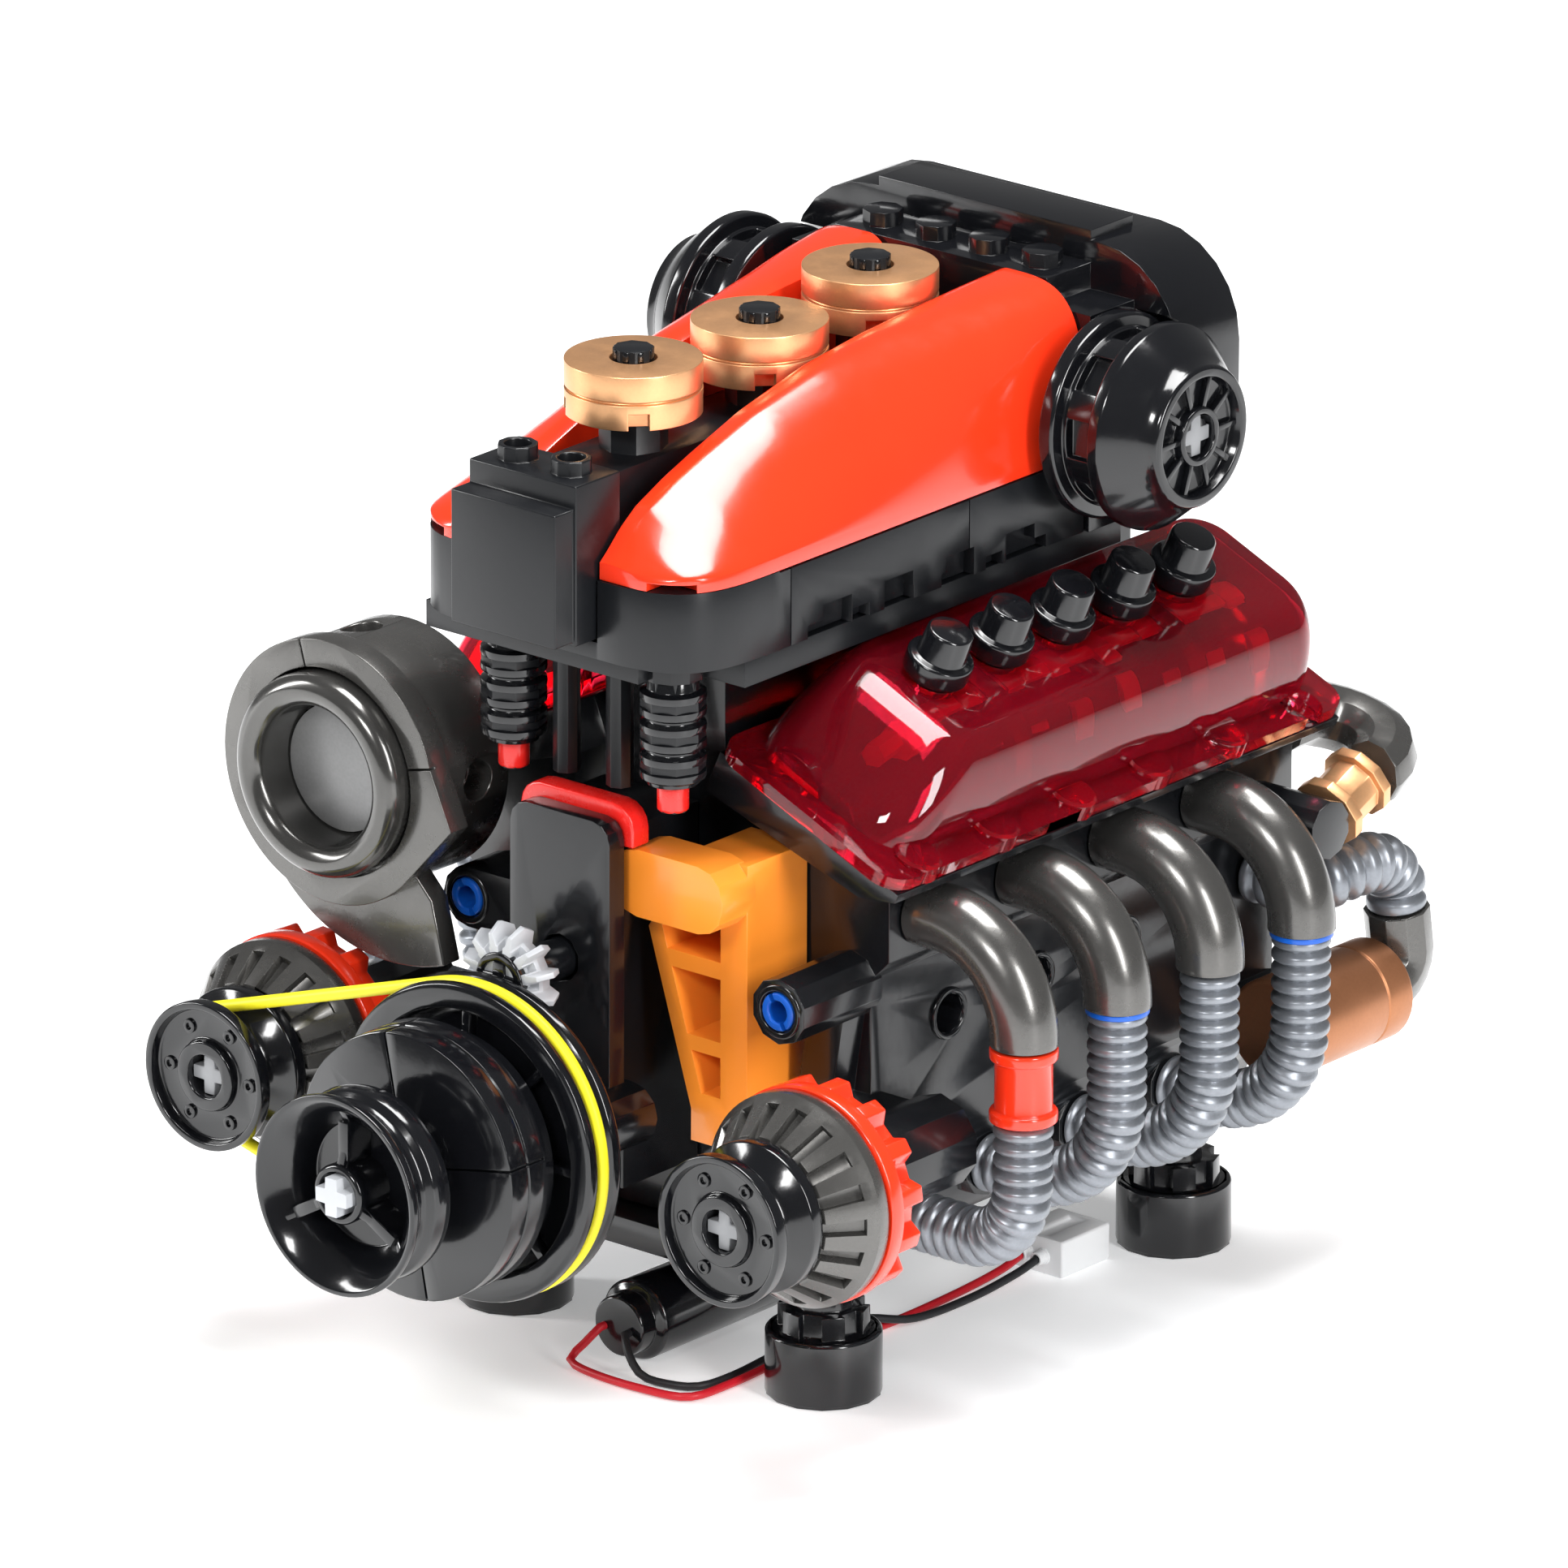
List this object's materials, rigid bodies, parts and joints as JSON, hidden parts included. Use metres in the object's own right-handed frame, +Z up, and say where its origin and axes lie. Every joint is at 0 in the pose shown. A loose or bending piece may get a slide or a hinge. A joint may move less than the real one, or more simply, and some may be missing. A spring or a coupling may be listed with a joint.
{
  "type": "four stroke engine model",
  "caption": "Desktop toy model of a V engine built from plastic bricks: turning crank, gears, belt, side pulleys, camshafts under clear covers and ribbed exhaust hoses.",
  "frame": {"origin": "on the table under the middle of the model", "axes": "+X towards the engine's right (the side with the orange bracket and the silver hoses in view), -Y towards the front with the belt, +Z up"},
  "size_m": [0.1039, 0.1495, 0.1256],
  "materials": {
    "black": "glossy moulded plastic",
    "soft_black": "matt wire sleeve",
    "pearl_grey": "pearly dark grey plastic",
    "silver": "silver grey flexible plastic",
    "light_grey": "satin plastic",
    "orange_red": "glossy moulded plastic",
    "red": "glossy moulded plastic",
    "clear_red": "clear coloured plastic",
    "gold": "satin gold lacquer",
    "copper": "satin copper lacquer",
    "orange": "glossy moulded plastic",
    "yellow": "smooth round belt",
    "white": "moulded plastic",
    "wire_red": "matt wire sleeve"
  },
  "bodies": {
    "engine": {"black_wire": "soft_black", "drive_belt": "yellow", "elbow_right_1": "pearl_grey", "elbow_right_2": "pearl_grey", "elbow_right_3": "pearl_grey", "elbow_right_4": "pearl_grey", "engine_block": "black", "exhaust_left_1": "pearl_grey", "exhaust_left_2": "pearl_grey", "exhaust_left_3": "pearl_grey", "exhaust_left_4": "pearl_grey", "front_arch": "red", "front_brick": "black", "front_cover": "black", "front_stand": "black", "hose_coupler": "orange_red", "hose_right_1": "silver", "hose_right_2": "silver", "hose_right_3": "silver", "hose_right_4": "silver", "intake_base": "black", "intake_cover_left": "orange_red", "intake_cover_right": "orange_red", "intake_plate": "black", "lattice_bracket": "orange", "motor": "black", "plug_caps_left": "black", "plug_caps_right": "black", "rear_canister": "copper", "rear_coupler": "gold", "rear_hose": "silver", "rear_pipe_lower": "pearl_grey", "rear_pipe_upper": "pearl_grey", "rear_plenum": "black", "rear_stand": "black", "red_wire": "wire_red", "stack_front": "gold", "stack_middle": "gold", "stack_rear": "gold", "turbo_housing": "pearl_grey", "turbo_lip_ring": "pearl_grey", "valve_cover_left": "clear_red", "valve_cover_right": "clear_red", "wire_connector": "white"},
    "crank": {"crank_axle": "light_grey", "front_hub_wheel": "black", "drum_disc": "black", "belt_pulley": "black", "crank_gear": "light_grey"},
    "idler": {"idler_gear": "light_grey"},
    "left_pulley": {"left_wheel": "black", "left_bevel_rim": "pearl_grey", "left_gear_ring": "orange_red"},
    "right_pulley": {"right_wheel": "black", "right_bevel_rim": "pearl_grey", "right_gear_ring": "orange_red"},
    "cam_right": {"camshaft_right": "light_grey"},
    "cam_left": {"camshaft_left": "light_grey"},
    "filter_right": {"air_filter_right": "black"},
    "filter_left": {"air_filter_left": "black"}
  },
  "joints": [
    {"name": "crank_spin", "type": "hinge", "parent": "engine", "child": "crank", "pos_m": [0, 0, 0.0352], "axis": [0, 1, 0], "continuous": true},
    {"name": "idler_spin", "type": "hinge", "parent": "engine", "child": "idler", "pos_m": [0, 0, 0.0532], "axis": [0, 1, 0], "continuous": true},
    {"name": "left_pulley_spin", "type": "hinge", "parent": "engine", "child": "left_pulley", "pos_m": [-0.039, 0, 0.0342], "axis": [0, 1, 0], "continuous": true},
    {"name": "right_pulley_spin", "type": "hinge", "parent": "engine", "child": "right_pulley", "pos_m": [0.039, 0, 0.0342], "axis": [0, 1, 0], "continuous": true},
    {"name": "cam_right_spin", "type": "hinge", "parent": "engine", "child": "cam_right", "pos_m": [0.02654, 0, 0.07615], "axis": [0, 1, 0], "continuous": true},
    {"name": "cam_left_spin", "type": "hinge", "parent": "engine", "child": "cam_left", "pos_m": [-0.02654, 0, 0.07615], "axis": [0, 1, 0], "continuous": true},
    {"name": "filter_right_spin", "type": "hinge", "parent": "engine", "child": "filter_right", "pos_m": [0.024, 0.035, 0.107], "axis": [1, 0, 0], "continuous": true},
    {"name": "filter_left_spin", "type": "hinge", "parent": "engine", "child": "filter_left", "pos_m": [-0.024, 0.035, 0.107], "axis": [1, 0, 0], "continuous": true}
  ],
  "couplings": [
    {"joint": "idler_spin", "follows": "crank_spin", "ratio": -2},
    {"joint": "left_pulley_spin", "follows": "crank_spin", "ratio": 2.5448},
    {"joint": "cam_right_spin", "follows": "crank_spin", "ratio": 0.5},
    {"joint": "cam_left_spin", "follows": "crank_spin", "ratio": 0.5}
  ]
}
